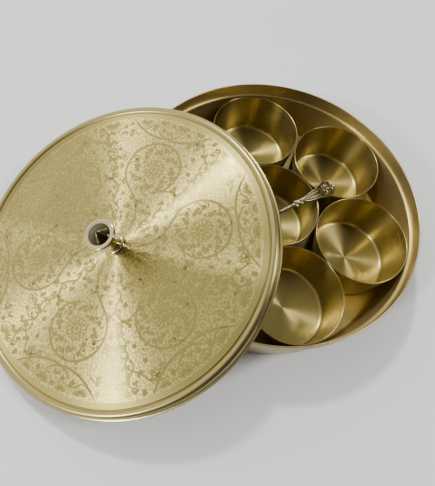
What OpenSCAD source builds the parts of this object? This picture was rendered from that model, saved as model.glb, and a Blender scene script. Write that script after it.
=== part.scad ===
// Masala dabba: a round brass spice box. Seven loose bowls stand in a spun pan,
// a small spoon lies in the middle one, and the etched lid leans on the rim.
// Millimetres, +Z up, origin at the centre of the pan's foot on the table.

/* [Pan] */
// Outside diameter of the pan at its rim
pan_d = 220; // [180:1:280]
// Height of the pan
pan_h = 48; // [36:1:66]
// Thickness of the pan's sheet
pan_sheet = 1; // [0.8:0.1:1.4]
// Depth of the upper band, from the rim down to the ledge for the lid
band_h = 11; // [8:0.5:15]
// Width of the ledge for the lid
ledge_w = 1.6; // [1.2:0.1:2.4]
// How far the wall draws in from the ledge to the foot
wall_draft = 1.8; // [1:0.1:3]
// Outside radius of the corner at the foot
foot_r = 4.5; // [3:0.5:8]

/* [Bowls] */
// Gap between the pan's wall and the outer bowls' rims
bowl_wall_gap = 0.4; // [0.3:0.1:2]
// Gap between neighbouring bowls' rims
bowl_gap = 0.4; // [0.3:0.1:3]
// Thickness of the bowls' sheet
bowl_sheet = 0.8; // [0.6:0.1:1.2]
// How far a bowl's wall draws in from rim to foot
bowl_draft = 2.5; // [1.5:0.1:4]
// Outside radius of the corner at a bowl's foot
bowl_corner = 3.5; // [2:0.5:6]
// How far the bowls' rims stay below the ledge
bowl_drop = 0.3; // [0.2:0.1:3]
// Turn of the ring of bowls
bowl_turn = 18.5; // [0:0.5:60]

/* [Lid] */
// Gap between the lid's lip and the band around it
lid_clear = 0.6; // [0.4:0.1:1]
// Height of the lid, from its lip to its flat top
lid_h = 6.8; // [5:0.2:10]
// Thickness of the lid's sheet
lid_sheet = 1; // [0.8:0.1:1.4]
// Width of the lip turned out at the foot of the skirt
lip_w = 1.7; // [1.2:0.1:2.4]
// Width of the plain border between the groove and the skirt
border_w = 4.3; // [3:0.1:8]
// Width of the groove around the etched disc
groove_w = 1.4; // [1:0.1:2]
// Depth of that groove
groove_d = 0.45; // [0.2:0.05:0.5]
// Rise of the thin ridge at the edge of the border
ridge_h = 0.5; // [0.2:0.1:1]
// Angle at which the lid leans on the pan
lid_lean = 21; // [16:0.5:24]
// How far the leaning lid stands to one side of the pan's axis
lid_side = 4; // [0:0.5:10]
// Gap between resting pieces where the lid leans
rest_gap = 0.3; // [0.2:0.1:0.5]

/* [Knob] */
// Height of the knob above the lid
knob_h = 28.3; // [22:0.1:36]
// Diameter of the knob's flange
knob_d = 20.6; // [16:0.2:28]
// Diameter of the cone on the flange
cone_d = 13.6; // [10:0.2:20]
// Height of that cone
cone_h = 3.9; // [2:0.1:6]
// Thickness of the flange
flange_t = 2; // [1.4:0.1:3]
// Diameter of the knob's base
base_d = 15.8; // [13:0.2:20]
// Height of the rounded part of the base
base_h = 5.2; // [4:0.1:8]
// Diameter of the neck at its narrowest
neck_d = 7.6; // [7:0.2:10]

/* [Knob screw] */
// Diameter of the screw that holds the knob
screw_d = 4; // [3:0.5:5]
// Length of the screw in the knob
screw_grip = 9; // [6:0.5:12]
// Radial clearance around the screw in the lid and the washer
screw_clear = 0.2; // [0.1:0.05:0.4]
// Diameter of the washer under the lid
washer_d = 13; // [10:0.5:18]
// Thickness of the washer
washer_t = 0.8; // [0.5:0.1:1.2]
// Diameter of the screw's head
head_d = 8; // [6.5:0.5:10]
// Height of the screw's head
head_h = 2.2; // [1.5:0.1:2.6]

/* [Spoon] */
// Diameter of the spoon's bowl
spoon_d = 19; // [15:0.5:24]
// Depth of the spoon's bowl
spoon_deep = 5; // [3:0.5:7]
// Thickness of the spoon's bowl
spoon_sheet = 1; // [0.8:0.1:1.4]
// Length of the handle from its bend to its tip
spoon_over = 14; // [12:0.5:20]
// Angle through which the handle's end bends up
handle_bend = 48; // [20:1:70]
// Radius of that bend
bend_r = 8; // [5:0.5:12]
// Diameter of the handle's shaft
shaft_d = 3; // [2.4:0.1:4]
// Width of the leaf finial
finial_w = 9.4; // [7:0.2:12]
// Length of the leaf finial
finial_l = 13; // [10:0.5:15]
// Width of the cast scrolls on the handle below the bend
flower_w = 6.6; // [5:0.2:8]
// Length of those scrolls
scroll_l = 14; // [10:0.5:18]
// Length of plain handle between the scrolls and the bend
scroll_back = 4; // [3.5:0.5:8]
// Thickness of the finial and the flower
ornament_t = 2.6; // [2:0.1:3]
// How far the spoon lies to one side of the middle bowl's centre
spoon_side = 2.9; // [0:0.1:8]
// Gap between the spoon and the bowl that it lies in
spoon_gap = 0.3; // [0.2:0.1:0.5]
// Angle through which the spoon has rolled over on its handle
spoon_roll = 21; // [0:1:30]

/* [Hidden] */
$fn = 96;

brass = [0.72, 0.61, 0.35];
dark_brass = [0.60, 0.48, 0.24];
pale_brass = [0.78, 0.73, 0.52];
old_brass = [0.70, 0.66, 0.52];

// Pan, from the rim inwards and downwards
rim_r = pan_d / 2;
band_in = rim_r - pan_sheet;
wall_in = band_in - ledge_w;
foot_in = wall_in - wall_draft;
ledge_z = pan_h - band_h;

// Bowls: three side by side span the pan
bowl_r = (wall_in - bowl_wall_gap - bowl_gap) / 3;
bowl_pitch = 2 * bowl_r + bowl_gap;
bowl_h = ledge_z - bowl_drop - pan_sheet;
bowl_foot = bowl_r - bowl_draft;

// Lid
lid_r = band_in - lid_clear;
skirt_r = lid_r - lip_w;
groove_r = skirt_r - border_w;

// Leaning lid: its lip stands on the table and its underside lies on the rim
lean_z = lid_h * cos(lid_lean) + lid_r * sin(lid_lean) + rest_gap;
lean_x = rim_r + (pan_h + rest_gap - lean_z + lid_sheet / cos(lid_lean)) / tan(lid_lean);

// Spoon: its bowl is on the floor at one side, its handle on the rim at the other
floor_z = pan_sheet + bowl_sheet;
rim_z = pan_sheet + bowl_h;
spoon_rim_x = sqrt(pow(bowl_r - bowl_sheet, 2) - pow(spoon_side + shaft_d / 2, 2));
lip_in = 0.32 * spoon_d - 1.88;
spoon_low_x = -sqrt(pow(bowl_foot - bowl_sheet, 2) - pow(spoon_side, 2)) + lip_in;
handle_high = rim_z + spoon_gap - floor_z;
spoon_lean = atan((handle_high - 1) / (spoon_rim_x - spoon_low_x));
// Sphere that the spoon's bowl is a cap of, and its centre in the spoon's frame
spoon_ball = (pow(spoon_d / 2, 2) + pow(spoon_deep, 2)) / (2 * spoon_deep);
ball_x = spoon_d / 2 - 1;
ball_z = 1.1 + spoon_ball - spoon_deep;
spoon_z = floor_z + spoon_gap + spoon_ball - ball_x * sin(spoon_lean) - ball_z * cos(spoon_roll) * cos(spoon_lean);
spoon_x = spoon_rim_x - (rim_z + (spoon_gap + shaft_d / 2) / cos(spoon_lean) - spoon_z) / tan(spoon_lean);
bend_x = (spoon_rim_x - spoon_x) / cos(spoon_lean) - 1;

// Points of an arc
function arc(x, y, r, a, b, n = 6) = [for (i = [0:n]) [x + r * cos(a + (b - a) * i / n), y + r * sin(a + (b - a) * i / n)]];

// Where each outer bowl stands
function seat(i) = [bowl_pitch * cos(bowl_turn + 60 * i), bowl_pitch * sin(bowl_turn + 60 * i), pan_sheet];

// A cup of sheet: foot, drafted wall and rounded rim, turned about Z
module cup(r_rim, r_foot, h, t, corner) {
    rotate_extrude($fn = 120) polygon(concat(
        [[0, 0]],
        arc(r_foot - corner, corner, corner, -90, 0, 6),
        [[r_rim, h - t / 2]],
        arc(r_rim - t / 2, h - t / 2, t / 2, 0, 180, 6),
        arc(r_foot - corner, corner, corner - t, 0, -90, 6),
        [[0, t]]));
}

module pan() color(dark_brass)
    rotate_extrude($fn = 180) polygon(concat(
        [[0, 0]],
        arc(foot_in + pan_sheet - foot_r, foot_r, foot_r, -90, 0, 6),
        [[wall_in + pan_sheet, ledge_z - pan_sheet - 0.6]],
        arc(rim_r - 1, ledge_z, 1, -75, 0, 4),
        arc(rim_r - pan_sheet / 2, pan_h - pan_sheet / 2, pan_sheet / 2, 0, 180, 6),
        arc(band_in - 0.4, ledge_z + 0.4, 0.4, 0, -90, 3),
        arc(wall_in + 0.4, ledge_z - 0.4, 0.4, 90, 180, 3),
        arc(foot_in + pan_sheet - foot_r, foot_r, foot_r - pan_sheet, 0, -90, 6),
        [[0, pan_sheet]]));

module bowl(place) color(brass)
    translate(place) cup(bowl_r, bowl_foot, bowl_h, bowl_sheet, bowl_corner);

module bowl_centre() bowl([0, 0, pan_sheet]);
module bowl_1() bowl(seat(0));
module bowl_2() bowl(seat(1));
module bowl_3() bowl(seat(2));
module bowl_4() bowl(seat(3));
module bowl_5() bowl(seat(4));
module bowl_6() bowl(seat(5));

// The lid's own frame: Z out of its flat top, origin at the top's centre
module on_lid()
    translate([-lean_x, -lid_side, lean_z]) rotate([0, -lid_lean, 0]) children();

module lid() color(pale_brass) on_lid()
    rotate_extrude($fn = 180) polygon(concat(
        [[screw_d / 2 + screw_clear, -lid_sheet], [screw_d / 2 + screw_clear, 0]],
        [[groove_r - groove_w, 0], [groove_r - groove_w * 0.65, -groove_d],
         [groove_r - groove_w * 0.35, -groove_d], [groove_r, 0]],
        [[skirt_r - 1.5, 0.15], [skirt_r - 1.1, ridge_h], [skirt_r - 0.7, ridge_h], [skirt_r - 0.25, 0]],
        [[skirt_r, -0.6], [skirt_r + 0.1, -lid_h + lid_sheet + 0.5]],
        [[lid_r - lid_sheet / 2 - 0.6, -lid_h + lid_sheet]],
        arc(lid_r - lid_sheet / 2, -lid_h + lid_sheet / 2, lid_sheet / 2, 90, -90, 6),
        [[skirt_r + 0.1 - lid_sheet + 0.4, -lid_h], [skirt_r + 0.1 - lid_sheet, -lid_h + 0.4]],
        [[skirt_r - lid_sheet, -lid_sheet - 0.6], [skirt_r - lid_sheet - 0.6, -lid_sheet]]));

module knob() color(brass) on_lid() {
    flange_z = knob_h - cone_h;
    difference() {
        rotate_extrude() polygon(concat(
            [[0, 0], [base_d / 2 - 0.5, 0]],
            arc(base_d / 2 - base_h / 2, base_h / 2, base_h / 2, -60, 90, 8),
            [[neck_d / 2 + 1.6, base_h + 0.1], [neck_d / 2 + 1.3, base_h + 1.4], [neck_d / 2 + 0.4, base_h + 2.2],
             [neck_d / 2, base_h + 4], [neck_d / 2, base_h + 6.5]],
            [[neck_d / 2 + 0.5, flange_z - flange_t - 5.2], [neck_d / 2 + 1.6, flange_z - flange_t - 2.6],
             [knob_d / 2 - 2.6, flange_z - flange_t - 0.5]],
            arc(knob_d / 2 - flange_t / 2, flange_z - flange_t / 2, flange_t / 2, -90, 90, 6),
            [[cone_d / 2 + 0.5, flange_z - 0.3], [cone_d / 2 + 0.1, flange_z - 0.3]],
            [[cone_d / 2 - 0.3, flange_z + cone_h * 0.12], [cone_d / 4, flange_z + cone_h * 0.56],
             [0.8, flange_z + cone_h - 0.12], [0, knob_h]]));
        translate([0, 0, -1]) cylinder(d = screw_d + 0.1, h = screw_grip + 2);
    }
}

module knob_washer() color(dark_brass) on_lid()
    translate([0, 0, -lid_sheet - washer_t]) difference() {
        cylinder(d = washer_d, h = washer_t);
        translate([0, 0, -1]) cylinder(r = screw_d / 2 + screw_clear, h = washer_t + 2);
    }

module knob_screw() color(dark_brass) on_lid()
    translate([0, 0, -lid_sheet - washer_t]) difference() {
        union() {
            cylinder(d = screw_d, h = lid_sheet + washer_t + screw_grip);
            rotate_extrude() polygon([[0, 0], [head_d / 2, 0], [head_d / 2, -head_h * 0.5], [head_d / 2 - 0.5, -head_h * 0.8], [head_d / 2 - 1.3, -head_h], [0, -head_h]]);
        }
        translate([-head_d / 2 - 1, -0.5, -head_h - 1]) cube([head_d + 2, 1, 2]);
    }

// The spoon's own frame: X along the shaft, origin near the tip of its bowl
module on_spoon()
    translate([spoon_x, -spoon_side, spoon_z]) rotate([0, -spoon_lean, 0]) rotate([spoon_roll, 0, 0]) children();

module spoon_bowl() color(old_brass) on_spoon() {
    // a shallow cap of a sphere, open upwards
    half = asin(spoon_d / 2 / spoon_ball);
    translate([ball_x, 0, ball_z]) rotate_extrude($fn = 72) polygon(concat(
        arc(0, 0, spoon_ball, -90, -90 + half, 10),
        arc(0, 0, spoon_ball - spoon_sheet, -90 + half, -90, 10)));
}

module spoon_handle() color(old_brass) on_spoon() {
    start = ball_x + spoon_d / 2 - 3;
    // shaft, brazed to the outside of the spoon's bowl
    difference() {
        translate([start, 0, 0]) rotate([0, 90, 0]) cylinder(d = shaft_d, h = bend_x + 0.4 - start, $fn = 32);
        translate([ball_x, 0, ball_z]) rotate_extrude($fn = 72) polygon(concat([[0, 0]], arc(0, 0, spoon_ball, -90, 0, 16)));
    }
    // turned rings at the start of the scrolls
    translate([bend_x - scroll_back - scroll_l - 3, 0, 0]) rotate([0, 90, 0]) cylinder(d = shaft_d + 1.6, h = 1.4, $fn = 32);
    // cast scrolls
    translate([bend_x - scroll_back - scroll_l, 0, 0]) for (p = [0.16, 0.5, 0.84])
        translate([scroll_l * p, 0, 0]) rotate([0, 90, 0])
            rotate_extrude($fn = 32) polygon([[0, -scroll_l * 0.17], [shaft_d / 2, -scroll_l * 0.17],
                [flower_w / 2 * 0.86, -scroll_l * 0.08], [flower_w / 2, 0], [flower_w / 2 * 0.86, scroll_l * 0.08],
                [shaft_d / 2, scroll_l * 0.17], [0, scroll_l * 0.17]]);
    // bend, then the leaf finial
    translate([bend_x, 0, bend_r]) rotate([90, 90, 0]) rotate_extrude(angle = handle_bend, $fn = 72)
        translate([bend_r, 0]) circle(d = shaft_d, $fn = 24);
    translate([bend_x + bend_r * sin(handle_bend), 0, bend_r * (1 - cos(handle_bend))]) rotate([0, -handle_bend, 0]) {
        translate([-0.4, 0, 0]) rotate([0, 90, 0]) cylinder(d = shaft_d, h = spoon_over - finial_l + 2.4, $fn = 32);
        translate([spoon_over - finial_l / 2, 0, -ornament_t / 2]) linear_extrude(ornament_t)
            polygon([for (a = [0:10:350]) [finial_l / 2 * cos(a), finial_w / 2 * sin(a) * (1 - 0.18 * cos(a)) * (1 - 0.12 * pow(cos(3 * a), 2))]]);
    }
}

pan();
bowl_centre();
bowl_1();
bowl_2();
bowl_3();
bowl_4();
bowl_5();
bowl_6();
spoon_bowl();
spoon_handle();
lid();
knob();
knob_washer();
knob_screw();
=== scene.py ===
"""Looks for a brass masala dabba: a round spice box with seven bowls, a spoon and an etched lid."""

import logging
import math
from dataclasses import dataclass
from enum import Enum

import bpy
from mathutils import Matrix, Vector


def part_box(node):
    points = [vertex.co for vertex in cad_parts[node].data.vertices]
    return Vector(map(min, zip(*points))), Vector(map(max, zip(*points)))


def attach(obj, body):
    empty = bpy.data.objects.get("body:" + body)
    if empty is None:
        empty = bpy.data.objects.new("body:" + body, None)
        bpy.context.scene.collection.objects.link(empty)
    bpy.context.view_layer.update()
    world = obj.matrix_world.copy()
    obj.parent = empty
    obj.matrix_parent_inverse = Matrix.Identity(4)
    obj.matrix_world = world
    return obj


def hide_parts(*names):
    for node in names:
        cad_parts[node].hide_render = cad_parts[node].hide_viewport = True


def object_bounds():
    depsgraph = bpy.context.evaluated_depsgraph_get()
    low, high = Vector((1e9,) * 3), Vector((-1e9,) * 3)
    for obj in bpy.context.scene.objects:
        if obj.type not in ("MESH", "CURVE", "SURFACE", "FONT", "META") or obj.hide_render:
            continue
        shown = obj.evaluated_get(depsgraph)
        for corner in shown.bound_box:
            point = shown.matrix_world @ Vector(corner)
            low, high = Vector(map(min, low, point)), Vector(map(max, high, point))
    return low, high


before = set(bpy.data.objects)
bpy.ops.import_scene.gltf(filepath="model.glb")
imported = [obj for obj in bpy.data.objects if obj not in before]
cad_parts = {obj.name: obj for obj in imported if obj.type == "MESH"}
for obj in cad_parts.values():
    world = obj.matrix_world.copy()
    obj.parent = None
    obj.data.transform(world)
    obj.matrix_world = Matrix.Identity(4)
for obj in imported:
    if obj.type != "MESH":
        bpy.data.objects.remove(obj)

CAD_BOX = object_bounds()
MM = 0.001
LOG = logging.getLogger("masala_dabba")

# Depths of relief in the finishes, in millimetres.
PRICK_DEPTH = 0.012
CAST_DEPTH = 0.08

# Edges bent more than these, in degrees, stay sharp.
TURNED_SHARP = 34.0
CAST_SHARP = 60.0

Outline = list[tuple[float, float]]
Path = list[tuple[float, float]]
Socket = bpy.types.NodeSocket


class Working(Enum):
    """How a brass surface was last worked."""

    SPUN = "spun"
    ETCHED = "etched"
    POLISHED = "polished"
    CAST = "cast"


class Tree:
    """A material's node tree, with short ways to add and join its nodes."""

    def __init__(self, name: str) -> None:
        """Makes a new material with an empty tree.

        Args:
            name: the material's name.
        """
        self.material = bpy.data.materials.new(name)
        self.material.use_nodes = True
        self.nodes = self.material.node_tree.nodes
        self.links = self.material.node_tree.links
        self.nodes.clear()
        self.output = self.nodes.new("ShaderNodeOutputMaterial")

    def add(self, kind: str, **values: object) -> bpy.types.Node:
        """Adds a node.

        Args:
            kind: the node's type, without its ShaderNode prefix.
            values: properties of the node to set.

        Returns:
            The new node.
        """
        node = self.nodes.new("ShaderNode" + kind)
        for key, value in values.items():
            setattr(node, key, value)
        return node

    def join(self, source: Socket, target: Socket) -> None:
        """Links an output to an input."""
        self.links.new(source, target)

    def math(self, operation: str, a: object, b: object = 0.0) -> Socket:
        """Adds a Math node.

        Args:
            operation: the Math node's operation.
            a: first value or socket.
            b: second value or socket.

        Returns:
            The node's output.
        """
        node = self.add("Math", operation=operation)
        for socket, value in zip(node.inputs, (a, b)):
            if isinstance(value, Socket):
                self.join(value, socket)
            else:
                socket.default_value = value
        return node.outputs[0]

    def noise(self, vector: Socket, scale: float, detail: float = 2.0) -> Socket:
        """Adds a Noise texture.

        Args:
            vector: where it is read.
            scale: its scale.
            detail: its detail.

        Returns:
            Its value, about 0 to 1.
        """
        node = self.add("TexNoise")
        node.inputs["Scale"].default_value = scale
        node.inputs["Detail"].default_value = detail
        self.join(vector, node.inputs["Vector"])
        return node.outputs["Fac"]

    def spread(self, value: Socket, low: float, high: float, out_low: float, out_high: float) -> Socket:
        """Maps a range of values to another, clamped.

        Args:
            value: what is mapped.
            low: start of the range in.
            high: end of the range in.
            out_low: start of the range out.
            out_high: end of the range out.

        Returns:
            The mapped value.
        """
        node = self.add("MapRange", clamp=True)
        self.join(value, node.inputs["Value"])
        for key, number in (("From Min", low), ("From Max", high), ("To Min", out_low), ("To Max", out_high)):
            node.inputs[key].default_value = number
        return node.outputs["Result"]

    def mix(self, factor: Socket, a: object, b: object) -> Socket:
        """Mixes two colours.

        Args:
            factor: 0 gives a, 1 gives b.
            a: first colour or socket.
            b: second colour or socket.

        Returns:
            The mixed colour.
        """
        node = self.add("Mix", data_type="RGBA")
        self.join(factor, node.inputs[0])
        for socket, value in ((node.inputs[6], a), (node.inputs[7], b)):
            if isinstance(value, Socket):
                self.join(value, socket)
            else:
                socket.default_value = (*value, 1.0)
        return node.outputs[2]


@dataclass(frozen=True)
class BrassFinish:
    """A finish for turned or cast brass.

    Attributes:
        name: the material's name.
        colour: main colour of the metal; in the groove, motif, cone and shaft finishes it is darkened as
            painted shade or a painted dark reflection.
        deep: colour of its tarnish and hollows.
        working: how it was last worked.
        rough: its mean roughness.
        rough_spread: how much the roughness varies.
        brush: strength of the brushing, as anisotropy.
        ring: width of the brushed rings, in millimetres.
        ring_depth: depth of those rings, in millimetres.
        tarnish: how much of the tarnish shows, 0 to 1.
    """

    name: str
    colour: tuple[float, float, float]
    deep: tuple[float, float, float]
    working: Working
    rough: float
    rough_spread: float = 0.05
    brush: float = 0.0
    ring: float = 0.5
    ring_depth: float = 0.004
    tarnish: float = 0.4

    def build(self) -> bpy.types.Material:
        """Makes the material.

        Returns:
            The finished material.
        """
        tree = Tree(self.name)
        shader = tree.add("BsdfPrincipled")
        shader.inputs["Metallic"].default_value = 1.0
        shader.inputs["Anisotropic"].default_value = self.brush
        shader.inputs["Anisotropic Rotation"].default_value = 0.25
        tree.join(shader.outputs[0], tree.output.inputs["Surface"])
        place = tree.add("TexCoord").outputs["Object"]
        split = tree.add("SeparateXYZ")
        tree.join(place, split.inputs[0])
        x, y, z = split.outputs
        radius = tree.math("SQRT", tree.math("ADD", tree.math("MULTIPLY", x, x), tree.math("MULTIPLY", y, y)))
        cloud = tree.noise(place, 22.0, 3.0)
        fine = tree.noise(place, 420.0, 2.0)
        rings = self._rings(tree, radius, z)
        if self.working is not Working.CAST and self.brush:
            tangent = tree.add("Tangent", direction_type="RADIAL", axis="Z")
            tree.join(tangent.outputs[0], shader.inputs["Tangent"])
        shade = tree.spread(cloud, 0.38, 0.72, 0.0, self.tarnish)
        colour = tree.mix(shade, self.colour, self.deep)
        height = rings
        depth = self.ring_depth
        vary = self.rough_spread
        rough = tree.math(
            "ADD",
            tree.spread(cloud, 0.3, 0.7, self.rough - vary, self.rough + vary),
            tree.spread(rings, 0.3, 0.7, -vary * 0.6, vary * 0.6),
        )
        if self.working is Working.ETCHED:
            prick = self._pricks(tree, place)
            colour = tree.mix(tree.spread(prick, 0.0, 1.0, 0.0, 0.95), colour, self.deep)
            height = tree.math("ADD", tree.math("MULTIPLY", prick, -1.6), tree.math("MULTIPLY", fine, 0.7))
            depth = PRICK_DEPTH
            rough = tree.math("SUBTRACT", rough, tree.math("MULTIPLY", prick, 0.1))
        elif self.working is Working.CAST:
            hollow = tree.spread(tree.noise(place, 620.0, 2.0), 0.52, 0.68, 0.0, 0.8)
            colour = tree.mix(hollow, colour, self.deep)
            height = fine
            depth = CAST_DEPTH
        tree.join(colour, shader.inputs["Base Color"])
        tree.join(rough, shader.inputs["Roughness"])
        bump = tree.add("Bump")
        bump.inputs["Strength"].default_value = 1.0
        bump.inputs["Distance"].default_value = depth * MM
        tree.join(height, bump.inputs["Height"])
        tree.join(bump.outputs[0], shader.inputs["Normal"])
        return tree.material

    def _rings(self, tree: Tree, radius: Socket, z: Socket) -> Socket:
        """Fine turned rings, from how far out and how high a point is.

        Args:
            tree: the material's tree.
            radius: distance from the axis.
            z: height.

        Returns:
            The rings' height, about 0 to 1.
        """
        both = tree.add("CombineXYZ")
        tree.join(radius, both.inputs[0])
        tree.join(z, both.inputs[1])
        return tree.noise(both.outputs[0], 1.0 / (self.ring * MM) / 3.0, 3.0)

    def _pricks(self, tree: Tree, place: Socket) -> Socket:
        """Close-set pricks, as an etcher fills the ground with.

        Args:
            tree: the material's tree.
            place: object coordinates.

        Returns:
            1 in a prick and 0 on the lines between pricks.
        """
        bend = tree.add("TexNoise")
        bend.inputs["Scale"].default_value = 260.0
        tree.join(place, bend.inputs["Vector"])
        shift = tree.add("VectorMath", operation="MULTIPLY_ADD")
        shift.inputs[1].default_value = (0.003, 0.003, 0.0)
        tree.join(bend.outputs["Color"], shift.inputs[0])
        tree.join(place, shift.inputs[2])
        cells = tree.add("TexVoronoi", feature="F1", voronoi_dimensions="2D")
        cells.inputs["Scale"].default_value = 580.0
        tree.join(shift.outputs[0], cells.inputs["Vector"])
        return tree.spread(cells.outputs["Distance"], 0.22, 0.58, 1.0, 0.0)


LID_GROUND = BrassFinish(
    "lid_ground", (0.90, 0.78, 0.28), (0.50, 0.41, 0.115), Working.ETCHED,
    rough=0.47, rough_spread=0.02, brush=0.98, tarnish=0.2,
)
LID_PLAIN = BrassFinish(
    "lid_plain", (0.54, 0.46, 0.15), (0.38, 0.31, 0.088), Working.SPUN,
    rough=0.50, rough_spread=0.02, brush=0.93, ring=0.5, ring_depth=0.002, tarnish=0.2,
)
# Dark brass for the groove inside the border: painted shade in the groove, the same metal as the rest of the
# lid.
LID_GROOVE_SHADE = BrassFinish(
    "lid_groove_painted_shade", (0.26, 0.20, 0.06), (0.15, 0.11, 0.03), Working.SPUN,
    rough=0.4, rough_spread=0.02, brush=0.3, ring=0.5, ring_depth=0.002, tarnish=0.2,
)
# Polished motifs: their brass is set darker than the etched ground's, as a painted dark reflection of the
# room away from the highlights.
LID_MOTIF_DARKENED = BrassFinish(
    "lid_motif_painted_dark_reflection", (0.42, 0.348, 0.105), (0.35, 0.28, 0.082), Working.POLISHED,
    rough=0.22, rough_spread=0.02, brush=1.0, tarnish=0.3,
)
LID_BORDER = BrassFinish(
    "lid_border", (0.40, 0.335, 0.13), (0.28, 0.22, 0.07), Working.SPUN,
    rough=0.30, rough_spread=0.03, brush=0.35, ring=0.4, ring_depth=0.001, tarnish=0.3,
)
BOWL_BRASS = BrassFinish(
    "bowl_brass", (0.43, 0.345, 0.12), (0.34, 0.26, 0.08), Working.SPUN,
    rough=0.31, rough_spread=0.04, brush=0.9, ring=0.35, ring_depth=0.002, tarnish=0.35,
)
PAN_BRASS = BrassFinish(
    "pan_brass", (0.70, 0.57, 0.25), (0.54, 0.41, 0.15), Working.SPUN,
    rough=0.36, rough_spread=0.05, brush=0.7, ring=0.5, ring_depth=0.003, tarnish=0.45,
)
PAN_OUTSIDE = BrassFinish(
    "pan_outside", (0.40, 0.325, 0.13), (0.30, 0.23, 0.08), Working.SPUN,
    rough=0.28, rough_spread=0.05, brush=0.5, ring=0.5, ring_depth=0.003, tarnish=0.45,
)
KNOB_BRASS = BrassFinish(
    "knob_brass", (0.62, 0.52, 0.29), (0.36, 0.28, 0.12), Working.POLISHED,
    rough=0.13, rough_spread=0.02, brush=0.0, ring=0.3, ring_depth=0.0008, tarnish=0.2,
)
# Near-black brass for the knob's polished cone: a painted dark reflection of the room, the same metal as the
# knob.
CONE_DARK_REFLECTION = BrassFinish(
    "cone_painted_reflection", (0.085, 0.073, 0.036), (0.055, 0.046, 0.022), Working.POLISHED,
    rough=0.18, rough_spread=0.02, brush=0.9, ring=0.3, ring_depth=0.0008, tarnish=0.2,
)
SPOON_BRASS = BrassFinish(
    "spoon_brass", (0.86, 0.77, 0.44), (0.20, 0.15, 0.07), Working.CAST,
    rough=0.34, rough_spread=0.05,
)
# Darker brass for the plain shaft where it dips into the middle bowl: painted shade, the same metal as the
# rest of the spoon.
SHAFT_SHADE = BrassFinish(
    "spoon_shaft_painted_shade", (0.42, 0.33, 0.17), (0.12, 0.09, 0.04), Working.CAST,
    rough=0.34, rough_spread=0.05,
)
SCREW_BRASS = BrassFinish(
    "screw_brass", (0.56, 0.46, 0.22), (0.34, 0.26, 0.10), Working.POLISHED,
    rough=0.25, rough_spread=0.05,
)


def arc(x: float, y: float, r: float, start: float, end: float, steps: int = 10) -> Path:
    """Points on an arc.

    Args:
        x: centre.
        y: centre.
        r: radius.
        start: first angle, in degrees.
        end: last angle, in degrees.
        steps: how many pieces.

    Returns:
        The points, both ends included.
    """
    turn = [math.radians(start + (end - start) * i / steps) for i in range(steps + 1)]
    return [(x + r * math.cos(a), y + r * math.sin(a)) for a in turn]


def polar(x: float, y: float, r: float, degrees: float) -> tuple[float, float]:
    """A point at a distance and an angle from another."""
    a = math.radians(degrees)
    return x + r * math.cos(a), y + r * math.sin(a)


def smooth(path: Path, parts: int) -> Path:
    """Rounds a path with a Catmull-Rom curve.

    Args:
        path: its points.
        parts: pieces between each two points.

    Returns:
        The finer path.
    """
    ends = [path[0]] + path + [path[-1]]
    out: Path = []
    for corners in zip(ends, ends[1:], ends[2:], ends[3:]):
        for k in range(parts):
            t = k / parts
            point = []
            for a, b, c, d in zip(*corners):
                square, cube = 2 * a - 5 * b + 4 * c - d, 3 * b - a - 3 * c + d
                point.append(0.5 * (2 * b + (c - a) * t + square * t * t + cube * t ** 3))
            out.append(tuple(point))
    return out + [path[-1]]


def link(
    obj: bpy.types.Object, material: bpy.types.Material, body: str, slot: str, *nodes: str
) -> bpy.types.Object:
    """Puts a piece in the scene, dresses it and lets it ride.

    Args:
        obj: the new object.
        material: its finish.
        body: the body that it rides on.
        slot: not used.
        nodes: CAD nodes that it replaces.

    Returns:
        The same object.
    """
    bpy.context.scene.collection.objects.link(obj)
    obj.data.materials.append(material)
    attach(obj, body)
    if nodes:
        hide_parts(*nodes)
    LOG.info("%s: %d faces, rides on %s", obj.name, len(obj.data.polygons), body)
    return obj


def dress(node: str, material: bpy.types.Material) -> None:
    """Gives a piece that is kept as it came its finish.

    Args:
        node: the piece's name.
        material: its finish.
    """
    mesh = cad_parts[node].data
    mesh.materials.clear()
    mesh.materials.append(material)
    LOG.info("%s: kept, finished as %s", node, material.name)


def turned(name: str, outline: Outline, steps: int) -> bpy.types.Object:
    """A piece turned about Z from a closed outline in millimetres.

    Args:
        name: the object's name.
        outline: radius and height of each corner, counter-clockwise.
        steps: pieces around.

    Returns:
        The object, not yet in the scene.
    """
    points: list[tuple[float, float, float]] = []
    rings: list[list[int]] = []
    for r, z in outline:
        count = 1 if r < 1e-6 else steps
        rings.append(list(range(len(points), len(points) + count)))
        for k in range(count):
            a = 2 * math.pi * k / steps
            points.append((r * math.cos(a) * MM, r * math.sin(a) * MM, z * MM))
    faces: list[tuple[int, ...]] = []
    for lower, upper in zip(rings, rings[1:] + rings[:1]):
        if len(lower) == 1 and len(upper) == 1:
            continue
        for k in range(steps):
            n = (k + 1) % steps
            if len(lower) == 1:
                faces.append((lower[0], upper[n], upper[k]))
            elif len(upper) == 1:
                faces.append((lower[k], lower[n], upper[0]))
            else:
                faces.append((lower[k], lower[n], upper[n], upper[k]))
    mesh = bpy.data.meshes.new(name)
    mesh.from_pydata(points, [], faces)
    mesh.shade_smooth()
    mesh.set_sharp_from_angle(angle=math.radians(TURNED_SHARP))
    mesh.update()
    return bpy.data.objects.new(name, mesh)


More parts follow.
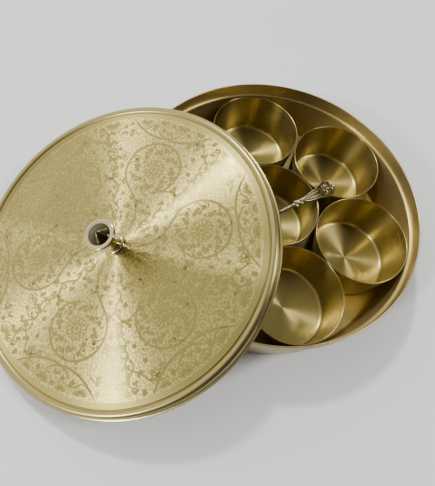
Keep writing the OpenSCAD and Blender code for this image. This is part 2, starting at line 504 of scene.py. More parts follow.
@dataclass
class Pan:
    """The spun pan: a flat foot, a drafted wall and a wider band above a ledge.

    Sizes are in millimetres.
    """

    rim_r: float = 110.0
    height: float = 48.0
    sheet: float = 1.0
    band: float = 11.0
    ledge: float = 1.6
    draft: float = 1.8
    foot_r: float = 4.5
    ledge_round: float = 0.4

    def outline(self) -> Outline:
        """Draws the pan's section.

        Returns:
            Its closed outline.
        """
        band_in = self.rim_r - self.sheet
        wall_in = band_in - self.ledge
        foot_in = wall_in - self.draft
        ledge_z = self.height - self.band
        corner = foot_in + self.sheet - self.foot_r
        t = self.sheet
        return (
            [(0.0, 0.0)] + arc(corner, self.foot_r, self.foot_r, -90, 0, 14)
            + [(wall_in + t, ledge_z - t - 0.6)] + arc(self.rim_r - 1, ledge_z, 1, -75, 0, 8)
            + arc(self.rim_r - t / 2, self.height - t / 2, t / 2, 0, 180, 12)
            + arc(band_in - self.ledge_round, ledge_z + self.ledge_round, self.ledge_round, 0, -90, 6)
            + arc(wall_in + self.ledge_round, ledge_z - self.ledge_round, self.ledge_round, 90, 180, 6)
            + arc(corner, self.foot_r, self.foot_r - t, 0, -90, 14) + [(60.0, t), (30.0, t), (0.0, t)]
        )

    def build(self) -> None:
        """Builds and dresses the pan."""
        pan = turned("pan_shell", self.outline(), 288)
        link(pan, PAN_BRASS.build(), "pan", "pan_brass", "pan")
        pan.data.materials.append(PAN_OUTSIDE.build())
        for face in pan.data.polygons:
            outward = face.normal.to_2d().dot(face.center.to_2d())
            if face.normal.z < -0.5 or outward > 0.6 * face.center.to_2d().length:
                face.material_index = 1


@dataclass
class Bowls:
    """Seven loose bowls, one in the middle and six around it. Sizes are in millimetres."""

    rim_r: float = 35.533
    draft: float = 2.5
    height: float = 35.7
    sheet: float = 0.8
    corner: float = 3.5
    names: tuple[str, ...] = ("bowl_centre", "bowl_1", "bowl_2", "bowl_3", "bowl_4", "bowl_5", "bowl_6")

    def outline(self) -> Outline:
        """Draws a bowl's section.

        Returns:
            Its closed outline, standing on z = 0.
        """
        foot, c, t, h = self.rim_r - self.draft, self.corner, self.sheet, self.height
        return (
            [(0.0, 0.0)] + arc(foot - c, c, c, -90, 0, 12)
            + arc(self.rim_r - t / 2, h - t / 2, t / 2, 0, 180, 12)
            + arc(foot - c, c, c - t, 0, -90, 12) + [(16.0, t), (0.0, t)]
        )

    def build(self) -> None:
        """Builds the bowls where the CAD bowls stand."""
        material = BOWL_BRASS.build()
        for k, name in enumerate(self.names):
            low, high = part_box(name)
            bowl = turned(name + "_shell", self.outline(), 192)
            middle = (low + high) / 2
            quarter = Matrix.Rotation(math.pi / 2 * k, 4, "Z")
            bowl.matrix_world = Matrix.Translation((middle.x, middle.y, low.z)) @ quarter
            link(bowl, material, name, "bowl_brass", name)


class Engraving:
    """Flat raised strokes and petals, gathered into one mesh. Units are millimetres."""

    STEP = 0.004
    STEPS = 9

    def __init__(self) -> None:
        """Starts with nothing drawn."""
        self.points: list[tuple[float, float, float]] = []
        self.faces: list[tuple[int, ...]] = []

    def _step(self) -> float:
        """How far the next face is raised, so that two that cross never lie in one plane."""
        return self.STEP * (len(self.faces) % self.STEPS)

    def _face(self, corners: Path) -> None:
        """Adds one flat face.

        Args:
            corners: its corners, in order.
        """
        start = len(self.points)
        z = self._step()
        self.points += [(x, y, z) for x, y in corners]
        self.faces.append(tuple(range(start, start + len(corners))))

    def stroke(self, path: Path, wide: float, tip: float = 0.25) -> None:
        """Draws a stroke that swells in the middle.

        Args:
            path: points along it.
            wide: its greatest width.
            tip: width at its ends, as a share of that.
        """
        n = len(path)
        left, right = [], []
        for i, (x, y) in enumerate(path):
            ax, ay = path[max(i - 1, 0)]
            bx, by = path[min(i + 1, n - 1)]
            dx, dy = bx - ax, by - ay
            size = math.hypot(dx, dy) or 1.0
            w = wide / 2 * (tip + (1 - tip) * math.sin(math.pi * i / (n - 1)) ** 0.6)
            left.append((x - dy / size * w, y + dx / size * w))
            right.append((x + dy / size * w, y - dx / size * w))
        start = len(self.points)
        z = self._step()
        for a, b in zip(left, right):
            self.points += [(*a, z), (*b, z)]
        for i in range(n - 1):
            k = start + 2 * i
            self.faces.append((k, k + 1, k + 3, k + 2))

    def dot(self, x: float, y: float, r: float, steps: int = 12) -> None:
        """Draws a round berry."""
        self._face(arc(x, y, r, 0, 360 - 360 / steps, steps - 1))

    def hoop(
        self, x: float, y: float, r: float, wide: float, start: float = 0.0, sweep: float = 360.0
    ) -> None:
        """Draws a ring or a part of one.

        Args:
            x: its centre.
            y: its centre.
            r: its radius.
            wide: width of the stroke.
            start: where it starts, in degrees.
            sweep: how far round it goes, in degrees.
        """
        tip = 1.0 if sweep >= 360 else 0.4
        self.stroke(arc(x, y, r, start, start + sweep, max(6, int(sweep / 22))), wide, tip)

    def leaf(self, x: float, y: float, angle: float, long: float, wide: float) -> None:
        """Draws a pointed leaf from its foot outwards.

        Args:
            x: its foot.
            y: its foot.
            angle: where it points, in degrees.
            long: its length.
            wide: its width.
        """
        c, s = math.cos(math.radians(angle)), math.sin(math.radians(angle))
        shares = (0.0, 0.15, 0.35, 0.55, 0.75, 0.9, 1.0)
        half = [(t, wide / 2 * math.sin(math.pi * t ** 0.75)) for t in shares]
        ring = [(t * long, w) for t, w in half] + [(t * long, -w) for t, w in reversed(half[1:-1])]
        self._face([(x + u * c - v * s, y + u * s + v * c) for u, v in ring])

    def trefoil(self, x: float, y: float, angle: float, r: float) -> None:
        """Draws three round leaves on a point."""
        for turn in (-75, 0, 75):
            self.dot(*polar(x, y, r * 1.05, angle + turn), r * 0.72, 10)

    def petal(self, x: float, y: float, angle: float, long: float, wide: float, line: float) -> None:
        """Draws a petal as an outline.

        Args:
            x: its foot.
            y: its foot.
            angle: where it points, in degrees.
            long: its length.
            wide: its width.
            line: width of the outline.
        """
        c, s = math.cos(math.radians(angle)), math.sin(math.radians(angle))
        turn = [2 * math.pi * k / 14 for k in range(15)]
        loop = [
            (long * (0.5 - 0.5 * math.cos(t)), wide / 2 * math.sin(t) * (1.25 - 0.5 * math.cos(t)) / 1.25)
            for t in turn
        ]
        self.stroke([(x + u * c - v * s, y + u * s + v * c) for u, v in loop], line, 0.85)

    def daisy(self, x: float, y: float, r: float, petals: int) -> None:
        """Draws a flower with a ring of looped petals around an eye.

        Args:
            x: its centre.
            y: its centre.
            r: its radius.
            petals: how many petals it has.
        """
        self.dot(x, y, r * 0.2, 12)
        for k in range(petals):
            a = 360 * k / petals
            self.petal(*polar(x, y, r * 0.36, a), a, r * 0.64, r * 4.2 / petals, r * 0.09)

    def curl(self, x: float, y: float, angle: float, size: float, side: float, wide: float) -> None:
        """Draws a tendril that curls in and ends in a berry.

        Args:
            x: where it leaves its stem.
            y: where it leaves its stem.
            angle: where it starts out to, in degrees.
            size: how big the curl is.
            side: 1 curls to the left, -1 to the right.
            wide: width of the stroke.
        """
        path, px, py, a = [(x, y)], x, y, angle
        for k in range(12):
            step = size * (0.26 - 0.014 * k)
            px += step * math.cos(math.radians(a))
            py += step * math.sin(math.radians(a))
            a += side * (9 + 4.2 * k)
            path.append((px, py))
        self.stroke(path, wide, 0.5)
        self.dot(px, py, wide * 1.25, 10)

    def repeat(self, count: int) -> None:
        """Repeats all that is drawn around the centre.

        Args:
            count: how many times it stands there afterwards.
        """
        points, faces = list(self.points), list(self.faces)
        for k in range(1, count):
            c, s = math.cos(2 * math.pi * k / count), math.sin(2 * math.pi * k / count)
            start = len(self.points)
            self.points += [(x * c - y * s, x * s + y * c, z) for x, y, z in points]
            self.faces += [tuple(i + start for i in f) for f in faces]

    def object(self, name: str, lift: float) -> bpy.types.Object:
        """Gives what is drawn as an object.

        Args:
            name: the object's name.
            lift: how far it stands above z = 0.

        Returns:
            The object, not yet in the scene.
        """
        mesh = bpy.data.meshes.new(name)
        mesh.from_pydata([(x * MM, y * MM, (lift + z) * MM) for x, y, z in self.points], [], self.faces)
        mesh.update()
        return bpy.data.objects.new(name, mesh)


@dataclass
class Ornament:
    """The lid's etched drawing: six round medallions joined by flowering vines, with fans at the edge."""

    medallion_r: float = 21.5
    medallion_at: float = 58.5
    phase: float = 45.7
    fold: int = 6
    stroke_w: float = 1.5

    def at(self, r: float, degrees: float) -> tuple[float, float]:
        """A point of the first sector, from its radius and its angle off the medallion's axis."""
        return polar(0.0, 0.0, r, self.phase + degrees)

    def berries(self, ink: Engraving, size: float, places: Path) -> None:
        """Draws berries of one size, each at a radius and an angle."""
        for r, a in places:
            ink.dot(*self.at(r, a), size)

    def clovers(self, ink: Engraving, size: float, places: Path) -> None:
        """Draws clovers of one size, each at a radius and an angle."""
        for r, a in places:
            ink.trefoil(*self.at(r, a), self.phase + a, size)

    def vine(self, ink: Engraving) -> None:
        """The main stem: out from the knob, then round the medallion.

        Args:
            ink: what it is drawn in.
        """
        cx, cy = self.at(self.medallion_at, 0)
        path = [self.at(r, a) for r, a in ((13, -14), (20, -8), (28, -1), (35, 7))]
        for k in range(19):
            path.append(polar(cx, cy, self.medallion_r * (1 - 0.010 * k), self.phase + 150 - 17.5 * k))
        path = smooth(path, 4)
        ink.stroke(path, self.stroke_w * 1.1, 0.45)
        self.leaves(ink, path[10:-6], 11, 3.4, 1.7)

    def leaves(self, ink: Engraving, path: Path, every: int, long: float, wide: float) -> None:
        """Sets leaves along a stem, on one side and then on the other.

        Args:
            ink: what they are drawn in.
            path: the stem.
            every: points of the stem between two leaves.
            long: length of a leaf.
            wide: width of a leaf.
        """
        for n, i in enumerate(range(0, len(path) - 1, every)):
            (x, y), (bx, by) = path[i], path[i + 1]
            ahead, side = math.degrees(math.atan2(by - y, bx - x)), 1 if n % 2 else -1
            ink.leaf(x, y, ahead + 48 * side, long, wide)
            ink.dot(*polar(x, y, long * 1.25, ahead + 75 * side), 0.95)

    def medallion(self, ink: Engraving) -> None:
        """The flower, berries and clovers inside the ring.

        Args:
            ink: what it is drawn in.
        """
        cx, cy = self.at(self.medallion_at, 0)
        ink.daisy(cx, cy, 7.4, 13)
        for k in range(8):
            a = self.phase + 45 * k + 10
            if k % 2:
                ink.dot(*polar(cx, cy, 11.6, a), 1.7)
                ink.dot(*polar(cx, cy, 10.2, a + 17), 1.1)
            else:
                ink.trefoil(*polar(cx, cy, 11.6, a), a, 1.9)
            ink.curl(*polar(cx, cy, 20.8, a), a + 180 + 58, 7.2, -1, 0.95)
            ink.dot(*polar(cx, cy, 15.8, a + 24), 1.75)
            ink.leaf(*polar(cx, cy, 19.4, a + 16), a + 210, 4.2, 1.5)

    def branches(self, ink: Engraving) -> None:
        """Sprays of berries and flowers between the medallions.

        Args:
            ink: what it is drawn in.
        """
        way = (
            (14, 26), (20, 33), (27, 26), (34, 33), (43, 27), (52, 32),
            (62, 29), (71, 34), (78, 32), (84, 39), (91, 43),
        )
        stem = smooth([self.at(r, a) for r, a in way], 5)
        ink.stroke(stem, self.stroke_w, 0.5)
        self.leaves(ink, stem[4:], 4, 4.0, 2.0)
        tendrils = (
            (37, 31, 7.0, -1), (45, 28, 7.5, 1), (51, 32, 7.5, -1), (59, 30, 8.5, 1),
            (65, 31, 8.0, -1), (72, 33, 8.5, 1), (81, 36, 8.5, -1),
        )
        for r, a, size, side in tendrils:
            ink.curl(*self.at(r, a), self.phase + a + 48 * side, size, -side, 1.0)
        self.berries(ink, 1.6, [
            (24, 21), (30, 38), (38, 21.5), (41, 36), (47, 22.5), (54, 37.5),
            (60, 24.5), (67, 38), (73, 26), (84, 33), (88, 46), (77, 42),
        ])
        self.clovers(ink, 1.9, [(50, 36), (65, 27), (78, 30), (86, 31)])
        x, y = self.at(67, 23)
        for turn in (45, 135, 225, 315):
            ink.hoop(*polar(x, y, 2.4, turn + self.phase), 1.35, 0.6)
        ink.dot(x, y, 0.8)

    def edge(self, ink: Engraving) -> None:
        """Arched stems, fans and buds along the edge.

        Args:
            ink: what it is drawn in.
        """
        arch = ((97, 20), (92, 17.5), (86.5, 13.5), (83, 8.5), (82.0, 3), (84, -2), (88, -5))
        for shift, side in ((0.0, 1), (2.0, -1)):
            path = [self.at(r, shift + side * a) for r, a in arch]
            ink.stroke(smooth(path, 5), self.stroke_w, 0.4)
        for k, a in enumerate((-13, -4.5, 5, 13.5)):
            self.fan(ink, *self.at(96.5, a), self.phase + a + 180, 8.2 if k % 2 else 6.2)
        self.fan(ink, *self.at(97.0, 30), self.phase + 30 + 180, 10.5)
        self.berries(ink, 1.55, [
            (91, 8.5), (90, -8.5), (93.5, 0.5), (88.5, 4), (93, 20.5),
            (94, -21), (95, 39), (91, 23.5), (87, 20), (83, -21),
        ])
        self.clovers(ink, 1.5, [(86.0, 0.5), (92, 35.5), (85, 24), (88, -16)])
        for r, a, side in ((83, 16, 1), (88, 13, -1), (84, -12, -1), (82, 44, 1)):
            ink.curl(*self.at(r, a), self.phase + a + 40 * side, 6.5, side, 0.95)

    def fan(self, ink: Engraving, x: float, y: float, angle: float, size: float) -> None:
        """Draws a lotus fan that opens from its foot.

        Args:
            ink: what it is drawn in.
            x: its foot.
            y: its foot.
            angle: where it opens to, in degrees.
            size: its height.
        """
        for k in range(9):
            a = angle - 64 + 16 * k
            ink.leaf(*polar(x, y, size * 0.22, a), a, size * 0.62, size * 0.12)
        ink.hoop(x, y, size * 0.95, 0.6, angle - 74, 148)
        ink.hoop(x, y, size * 0.18, 0.5, angle - 80, 160)

    def centre(self, ink: Engraving) -> None:
        """Buds and leaves around the knob.

        Args:
            ink: what it is drawn in.
        """
        for a, r in ((-24, 19), (-8, 17), (8, 19), (22, 17)):
            ink.leaf(*self.at(r, a), self.phase + a, 6.5, 2.0)
        self.berries(ink, 1.4, [(30, 0), (28.5, 12), (28.5, -12), (25, -26), (33, -14), (34.5, 10)])
        for a, side in ((-5, -1), (5, 1)):
            ink.curl(*self.at(26, a), self.phase + a + 30 * side, 6.0, side, 0.9)
        ink.trefoil(*self.at(32.5, -2), self.phase, 1.5)

    def build(self) -> Engraving:
        """Draws the whole ornament.

        Returns:
            The drawing.
        """
        ink = Engraving()
        for part in (self.vine, self.medallion, self.branches, self.edge, self.centre):
            part(ink)
        ink.repeat(self.fold)
        return ink


@dataclass
class Lid:
    """The lid, with its ornament and its knob, leaning on the pan. Sizes are in millimetres."""

    lip_r: float = 108.4
    height: float = 6.8
    sheet: float = 1.0
    lip_w: float = 1.7
    border_w: float = 4.3
    groove_w: float = 1.4
    groove_d: float = 0.45
    ridge_h: float = 0.5
    lean: float = 21.0
    side: float = 4.0
    gap: float = 0.3
    etched_r: float = 97.5
    hole_r: float = 2.2
    knob_h: float = 28.3
    knob_r: float = 10.3
    cone_r: float = 6.8
    cone_h: float = 3.9
    flange_t: float = 2.0
    base_r: float = 7.9
    base_h: float = 5.2
    neck_r: float = 3.8

    def place(self) -> Matrix:
        """Where the lid's own frame lies, with its near lip on the table and its far side on the pan.

        Returns:
            The frame of the lid's flat top.
        """
        pan = Pan()
        lean = math.radians(self.lean)
        z = self.height * math.cos(lean) + self.lip_r * math.sin(lean) + self.gap
        x = pan.rim_r + (pan.height + self.gap - z + self.sheet / math.cos(lean)) / math.tan(lean)
        return Matrix.Translation((-x * MM, -self.side * MM, z * MM)) @ Matrix.Rotation(-lean, 4, "Y")

    def outline(self) -> tuple[Outline, float]:
        """Draws the sheet's section.

        Returns:
            Its closed outline, with its flat top at z = 0, and the radius where the groove starts.
        """
        skirt = self.lip_r - self.lip_w
        groove = skirt - self.border_w
        t, h = self.sheet, self.height
        shape: Outline = [
            (self.hole_r, -t), (skirt - t - 0.6, -t), (skirt - t, -t - 0.6),
            (skirt + 0.1 - t, -h + 0.4), (skirt + 0.5 - t, -h),
        ]
        shape += arc(self.lip_r - t / 2, -h + t / 2, t / 2, -90, 90, 10)
        shape += [
            (self.lip_r - t / 2 - 0.6, -h + t), (skirt + 0.35, -h + t + 0.1), (skirt + 0.1, -h + t + 0.5),
        ]
        shape += arc(skirt - 0.6, -0.75, 0.6, 0, 80, 6)
        edge, n = skirt - 0.85, 16
        for k in range(n):
            swell = math.sin(math.pi * k / n) ** 0.8
            shape.append((edge - (edge - groove) * k / n, -0.1 + (self.ridge_h + 0.1) * swell + 0.1 * k / n))
        for k in range(9):
            shape.append((groove - self.groove_w * k / 8, -self.groove_d * math.sin(math.pi * k / 8)))
        shape += [(r, 0.0) for r in (self.etched_r, 80.0, 62.0, 45.0, 20.0, self.hole_r)]
        return shape, groove - self.groove_w

    def knob_outline(self) -> Outline:
        """Draws the knob's section: a round base, a waisted neck, a flange and a cone.

        Returns:
            Its closed outline, standing on the lid.
        """
        flange = self.knob_h - self.cone_h
        base, t, n = self.base_h, self.flange_t, self.neck_r
        neck = smooth([
            (n + 1.6, base + 0.1), (n + 1.3, base + 1.4), (n + 0.4, base + 2.2),
            (n, base + 4), (n, base + 6.5), (n + 0.5, flange - t - 5.2),
            (n + 1.6, flange - t - 2.6), (self.knob_r - 2.6, flange - t - 0.5),
        ], 4)
        cone_r, cone_h = self.cone_r - 0.3, self.cone_h - 0.3
        cone = []
        for k in range(10):
            swell = 1 + 0.10 * math.sin(math.pi * k / 10)
            cone.append((cone_r - cone_r * k / 10, flange + 0.3 + cone_h * (k / 10) * swell))
        return (
            [(0.0, 0.0), (self.base_r - 0.5, 0.0)]
            + arc(self.base_r - base / 2, base / 2, base / 2, -60, 90, 14) + neck
            + arc(self.knob_r - t / 2, flange - t / 2, t / 2, -90, 90, 14)
            + [(self.cone_r + out, flange - down) for out, down in ((1.8, 0.08), (0.5, 0.3), (0.1, 0.3))]
            + cone + [(0.35, self.knob_h - 0.04), (0.0, self.knob_h)]
        )

    def build(self) -> None:
        """Builds the lid's sheet, its ornament and the knob, and dresses the screw and the washer."""
        place = self.place()
        outline, disc_r = self.outline()
        sheet = turned("lid_sheet", outline, 288)
        sheet.matrix_world = place
        link(sheet, LID_BORDER.build(), "lid", "lid_brass", "lid")
        for finish in (LID_GROUND, LID_PLAIN, LID_GROOVE_SHADE):
            sheet.data.materials.append(finish.build())
        # Top faces take the etched ground, then the plain ring, then the groove, whose darker brass is
        # painted shade.
        for face in sheet.data.polygons:
            r = math.hypot(face.center.x, face.center.y) / MM
            if face.center.z > -self.groove_d * MM - 1e-6 and r < disc_r + self.groove_w:
                face.material_index = 1 if r < self.etched_r else 2 if r < disc_r else 3
        drawing = Ornament().build().object("lid_ornament", 0.05)
        drawing.matrix_world = place
        # The motifs' darker brass is a painted dark reflection, not a darker metal.
        link(drawing, LID_MOTIF_DARKENED.build(), "lid", "lid_brass")
        knob = turned("lid_knob", self.knob_outline(), 96)
        knob.matrix_world = place
        link(knob, KNOB_BRASS.build(), "lid", "knob_brass", "knob")
        knob.data.materials.append(CONE_DARK_REFLECTION.build())
        # The cone's faces take the near-black copy: painted dark reflection.
        for face in knob.data.polygons:
            middle = face.center / MM
            above = middle.z > self.knob_h - self.cone_h - 0.4
            if above and math.hypot(middle.x, middle.y) < self.cone_r + 0.3:
                face.material_index = 1
        screw = SCREW_BRASS.build()
        for name in ("knob_washer", "knob_screw"):
            dress(name, screw)


class Casting:
    """Round cast forms gathered into one mesh, in millimetres along, across and above a centre line."""

    def __init__(self) -> None:
        """Starts with nothing cast."""
        self.points: list[Vector] = []
        self.faces: list[tuple[int, ...]] = []

    def loft(self, rings: list[list[Vector]]) -> None:
        """Skins a row of closed rings and caps both ends.

        Args:
            rings: the rings, each with as many points as the others.
        """
        start, n = len(self.points), len(rings[0])
        for ring in rings:
            self.points += ring
        for i in range(len(rings) - 1):
            for k in range(n):
                a, b = start + i * n + k, start + i * n + (k + 1) % n
                self.faces.append((a, b, b + n, a + n))
        self.faces.append(tuple(reversed(range(start, start + n))))
        last = start + (len(rings) - 1) * n
        self.faces.append(tuple(range(last, last + n)))

    def plate(self, stations: list[tuple[float, float, float]], sides: int = 20) -> None:
        """Casts a flat bar whose width and thickness change along it.

        Args:
            stations: place, half width and half thickness of each section.
            sides: points around a section.
        """
        turn = [2 * math.pi * k / sides for k in range(sides)]
        section = [(math.cos(t), math.copysign(abs(math.sin(t)) ** 0.7, math.sin(t))) for t in turn]
        self.loft([[Vector((s, wide * c, thick * h)) for c, h in section] for s, wide, thick in stations])

    def rib(self, path: list[tuple[float, float, float]], r: float, tip: float = 0.5, sides: int = 8) -> None:
        """Casts a round rib along a path, thinner at its ends.

        Args:
            path: points along, across and above.
            r: its greatest radius.
            tip: radius at its ends, as a share of that.
            sides: points around it.
        """
        line = [Vector(q) for q in path]
        rings = []
        for i, q in enumerate(line):
            ahead = (line[min(i + 1, len(line) - 1)] - line[max(i - 1, 0)]).normalized()
            up = Vector((0, 0, 1)) if abs(ahead.z) < 0.9 else Vector((1, 0, 0))
            side = ahead.cross(up).normalized()
            up = side.cross(ahead)
            size = r * (tip + (1 - tip) * math.sin(math.pi * i / (len(line) - 1)) ** 0.5)
            turn = [2 * math.pi * k / sides for k in range(sides)]
            rings.append([q + size * (math.cos(t) * up + math.sin(t) * side) for t in turn])
        self.loft(rings)

    def bead(self, s: float, y: float, z: float, long: float, wide: float, high: float) -> None:
        """Casts a rounded bead.

        Args:
            s: its place along.
            y: its place across.
            z: its height.
            long: half its length.
            wide: half its width.
            high: half its height.
        """
        rings = []
        for v in [math.pi * (k + 0.25) / 8.5 for k in range(9)]:
            c, r = math.cos(v), math.sin(v)
            turn = [-2 * math.pi * k / 12 for k in range(12)]
            rings.append([
                Vector((s + long * c, y + wide * r * math.cos(t), z + high * r * math.sin(t))) for t in turn
            ])
        self.loft(rings)

    def object(self, name: str, centre: "Spoon") -> bpy.types.Object:
        """Bends all forms along the spoon's centre line.

        Args:
            name: the object's name.
            centre: the spoon, which knows its centre line.

        Returns:
            The object in the spoon's own frame, not yet in the scene.
        """
        mesh = bpy.data.meshes.new(name)
        mesh.from_pydata([centre.along(q) * MM for q in self.points], [], self.faces)
        mesh.shade_smooth()
        mesh.set_sharp_from_angle(angle=math.radians(CAST_SHARP))
        mesh.update()
        return bpy.data.objects.new(name, mesh)


@dataclass
class Spoon:
    """The cast spoon that leans in the middle bowl, with a leaf at its end. Sizes are in millimetres."""

    rim_in: float = 34.733
    foot_in: float = 32.233
    floor_z: float = 1.8
    rim_z: float = 36.7
    side: float = 2.9
    roll: float = 21.0
    gap: float = 0.3
    tip_in: float = 4.2
    bowl_d: float = 19.0
    bowl_deep: float = 5.0
    shaft_d: float = 3.0
    bend: float = 48.0
    bend_r: float = 8.0
    over: float = 14.0
    flare: float = 39.0

    def __post_init__(self) -> None:
        """Works out how the spoon leans and where its shaft bends."""
        ball = ((self.bowl_d / 2) ** 2 + self.bowl_deep ** 2) / (2 * self.bowl_deep)
        rim_x = math.sqrt(self.rim_in ** 2 - (self.side + self.shaft_d / 2) ** 2)
        low_x = -math.sqrt(self.foot_in ** 2 - self.side ** 2) + self.tip_in
        self.lean = math.atan((self.rim_z + self.gap - self.floor_z - 1) / (rim_x - low_x))
        reach, high = self.bowl_d / 2 - 1, 1.1 + ball - self.bowl_deep
        z = (self.floor_z + self.gap + ball - reach * math.sin(self.lean)
             - high * math.cos(math.radians(self.roll)) * math.cos(self.lean))
        shaft_z = self.rim_z + (self.gap + self.shaft_d / 2) / math.cos(self.lean)
        x = rim_x - (shaft_z - z) / math.tan(self.lean)
        self.origin = Vector((x, -self.side, z)) * MM
        self.bend_at = (rim_x - x) / math.cos(self.lean) - 1
        self.start = reach + self.bowl_d / 2 - 3

    def along(self, q: Vector) -> Vector:
        """Carries a point from along, across and above the centre line into the spoon's frame.

        Args:
            q: distance along the shaft, across it and above it.

        Returns:
            The point in the spoon's frame.
        """
        turn = min(max((q.x - self.bend_at) / self.bend_r, 0.0), math.radians(self.bend))
        past = max(q.x - self.bend_at - self.bend_r * math.radians(self.bend), 0.0)
        c, s = math.cos(turn), math.sin(turn)
        foot = min(q.x, self.bend_at)
        x = foot + self.bend_r * s + past * c - q.z * s
        return Vector((x, q.y, self.bend_r * (1 - c) + past * s + q.z * c))

    def handle(self) -> Casting:
        """Casts the shaft, its collar, the flared stem and the leaf.

        Returns:
            The handle's forms.
        """
        cast, r = Casting(), self.shaft_d / 2
        end = self.bend_at + self.bend_r * math.radians(self.bend) + self.over
        flare = end - self.flare
        stem = [(self.start + (flare - self.start) * k / 12, r, r) for k in range(13)]
        swell = (
            (0.04, 1.9, 1.5), (0.12, 2.5, 1.3), (0.22, 2.3, 1.2), (0.34, 2.7, 1.1),
            (0.46, 3.3, 1.1), (0.56, 3.5, 1.0), (0.64, 4.1, 1.0), (0.72, 5.0, 1.0),
            (0.80, 5.5, 1.0), (0.88, 5.3, 0.95), (0.94, 4.2, 0.85), (0.985, 2.2, 0.6),
        )
        cast.plate(stem + [(flare + self.flare * t, w, h) for t, w, h in swell])
        cast.bead(flare - 6.0, 0, 0, 0.9, r + 0.8, r + 0.8)
        cast.bead(flare - 4.3, 0, 0, 0.6, r + 0.45, r + 0.45)
        buds = (
            (0.5, 0.0, 1.5), (2.9, 1.7, 1.35), (2.9, -1.7, 1.35),
            (5.2, 0.0, 1.3), (7.4, 1.5, 1.0), (7.4, -1.5, 1.0),
        )
        for s, y, size in buds:
            cast.bead(flare + s, y, 0.8, size, size, 1.2)
        for side in (-1, 1):
            self._leaf_half(cast, flare, side)
        ridge = ((0.70, 1.1, 2.6, 1.1, 0.9), (0.83, 1.2, 1.7, 0.9, 0.8), (0.97, 0.5, 1.4, 1.6, 1.0))
        for share, z, long, wide, high in ridge:
            cast.bead(flare + self.flare * share, 0, z, long, wide, high)
        return cast

    def _leaf_half(self, cast: Casting, flare: float, side: int) -> None:
        """Casts the raised edge, the vein and the curls on one side of the leaf.

        Args:
            cast: what they are cast in.
            flare: where the leaf starts along the handle.
            side: 1 for its left side, -1 for its right.
        """
        long = self.flare
        edge = (
            (0.28, 1.3), (0.36, 2.5), (0.46, 3.2), (0.56, 3.5), (0.64, 4.2),
            (0.72, 5.1), (0.80, 5.5), (0.88, 5.2), (0.94, 4.0), (0.985, 1.6),
        )
        cast.rib([(flare + long * t, side * w, 0.9) for t, w in edge], 0.7, 0.8)
        vein = ((0.30, 0.3), (0.38, 0.9), (0.46, 1.5), (0.54, 1.7), (0.60, 1.2))
        cast.rib([(flare + long * t, side * w, 1.2) for t, w in vein], 0.55)
        curl = []
        for k in range(13):
            r, a = 2.3 - 0.15 * k, 2.6 + 0.55 * k
            along = flare + long * 0.78 + r * math.cos(a)
            curl.append((along, side * (2.7 + r * math.sin(a)), 1.25 + 0.05 * k))
        cast.rib(curl, 0.6, 0.7)
        turn = [0.5 * k - 1.6 for k in range(9)]
        tip = [(flare + long * 0.90 + 2.0 * math.cos(a), side * (1.6 + 1.3 * math.sin(a)), 1.2) for a in turn]
        cast.rib(tip, 0.5)

    def build(self) -> None:
        """Builds the handle and dresses the spoon's bowl."""
        brass = SPOON_BRASS.build()
        handle = self.handle().object("spoon_leaf_handle", self)
        handle.matrix_world = (Matrix.Translation(self.origin) @ Matrix.Rotation(-self.lean, 4, "Y")
                               @ Matrix.Rotation(math.radians(self.roll), 4, "X"))
        link(handle, brass, "spoon", "spoon_brass", "spoon_handle")
        handle.data.materials.append(SHAFT_SHADE.build())
        # The shaft's faces below the flare take the darker copy: painted shade inside the bowl.
        for face in handle.data.polygons:
            if face.center.x / MM < self.bend_at + self.bend_r + self.over * 0.5 - self.flare - 3:
                face.material_index = 1
        dress("spoon_bowl", brass)


@dataclass
class Lamp:
    """A soft lamp.

    Attributes:
        name: its name.
        at: where it hangs, in metres.
        size: its width, in metres.
        watts: its power.
    """

    name: str
    at: tuple[float, float, float]
    size: float
    watts: float

    def build(self, aim: Vector) -> None:
        """Hangs the lamp and turns it to a point.

        Args:
            aim: the point that it shines at.
        """
        data = bpy.data.lights.new(self.name, "AREA")
        data.shape = "SQUARE"
        data.size = self.size
        data.energy = self.watts
        obj = bpy.data.objects.new(self.name, data)
        obj.location = self.at
        obj.rotation_mode = "QUATERNION"
        obj.rotation_quaternion = (aim - Vector(self.at)).to_track_quat("-Z", "Y")
        bpy.context.scene.collection.objects.link(obj)


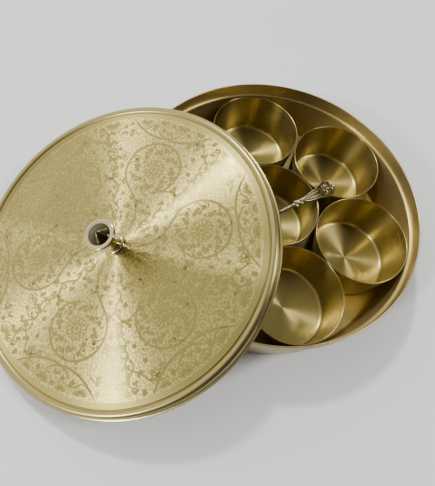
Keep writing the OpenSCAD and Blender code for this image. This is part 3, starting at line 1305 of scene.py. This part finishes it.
@dataclass
class Studio:
    """A pale floor, soft light and the camera."""

    camera_at: tuple[float, float, float] = (-0.12361, -0.12021, 0.29545)
    forward: tuple[float, float, float] = (0.2473, 0.3547, -0.9017)
    right: tuple[float, float, float] = (0.9315, -0.3432, 0.1205)
    lens: float = 29.85
    sky_side: tuple[float, float, float] = (-0.5, 0.86, 0.0)
    sky_dim: float = 0.04
    sky_mean: float = 0.42
    sky_slope: float = 1.25
    aim: tuple[float, float, float] = (-0.04, 0.0, 0.04)
    lamps: tuple[Lamp, ...] = (
        Lamp("lamp_back", (-0.14, 0.87, 1.38), 0.12, 12.0),
        Lamp("lamp_left", (-1.37, -0.32, 0.97), 0.16, 11.5),
        Lamp("lamp_right", (0.85, -0.42, 1.33), 0.30, 8.0),
    )

    def floor(self) -> None:
        """Lays the floor."""
        low, high = CAD_BOX
        bpy.ops.mesh.primitive_plane_add(size=8.0, location=((low.x + high.x) / 2, 0, low.z - 0.0002))
        floor = bpy.context.object
        floor.name = "floor"
        tree = Tree("floor_paper")
        shader = tree.add("BsdfPrincipled")
        tree.join(shader.outputs[0], tree.output.inputs["Surface"])
        place = tree.add("TexCoord").outputs["Object"]
        tone = tree.mix(tree.noise(place, 3.0, 2.0), (0.93, 0.93, 0.93), (0.95, 0.95, 0.95))
        tree.join(tone, shader.inputs["Base Color"])
        shader.inputs["Roughness"].default_value = 0.9
        floor.data.materials.append(tree.material)

    def sky(self, tree: bpy.types.NodeTree) -> None:
        """Makes the room's soft light, brighter on one side than on the other.

        Args:
            tree: the world's node tree.
        """
        back = tree.nodes["Background"]
        back.inputs[0].default_value = (1.0, 0.99, 0.97, 1.0)
        place = tree.nodes.new("ShaderNodeTexCoord")
        side = tree.nodes.new("ShaderNodeVectorMath")
        side.operation = "DOT_PRODUCT"
        side.inputs[1].default_value = self.sky_side
        tree.links.new(place.outputs["Generated"], side.inputs[0])
        slope = tree.nodes.new("ShaderNodeMath")
        slope.operation = "MULTIPLY_ADD"
        tree.links.new(side.outputs["Value"], slope.inputs[0])
        slope.inputs[1].default_value = self.sky_slope
        slope.inputs[2].default_value = self.sky_mean
        least = tree.nodes.new("ShaderNodeMath")
        least.operation = "MAXIMUM"
        least.inputs[1].default_value = self.sky_dim
        tree.links.new(slope.outputs[0], least.inputs[0])
        tree.links.new(least.outputs[0], back.inputs[1])

    def build(self) -> None:
        """Builds the camera, the lights and the floor."""
        forward, right = Vector(self.forward).normalized(), Vector(self.right).normalized()
        up = right.cross(forward).normalized()
        data = bpy.data.cameras.new("camera")
        data.sensor_width = 36.0
        data.lens = self.lens
        data.clip_start, data.clip_end = 0.01, 20.0
        camera = bpy.data.objects.new("camera", data)
        bpy.context.scene.collection.objects.link(camera)
        rows = Matrix((right, up, -forward)).transposed()
        camera.matrix_world = Matrix.Translation(self.camera_at) @ rows.to_4x4()
        bpy.context.scene.camera = camera
        world = bpy.data.worlds.new("studio")
        world.use_nodes = True
        bpy.context.scene.world = world
        self.sky(world.node_tree)
        for lamp in self.lamps:
            lamp.build(Vector(self.aim))
        self.floor()


def main() -> None:
    """Builds the studio and every sub-assembly."""
    logging.basicConfig(level=logging.INFO, format="%(name)s: %(message)s")
    Studio().build()
    for assembly in (Pan(), Bowls(), Spoon(), Lid()):
        LOG.info("building %s", type(assembly).__name__)
        assembly.build()


if __name__ == "__main__":
    main()
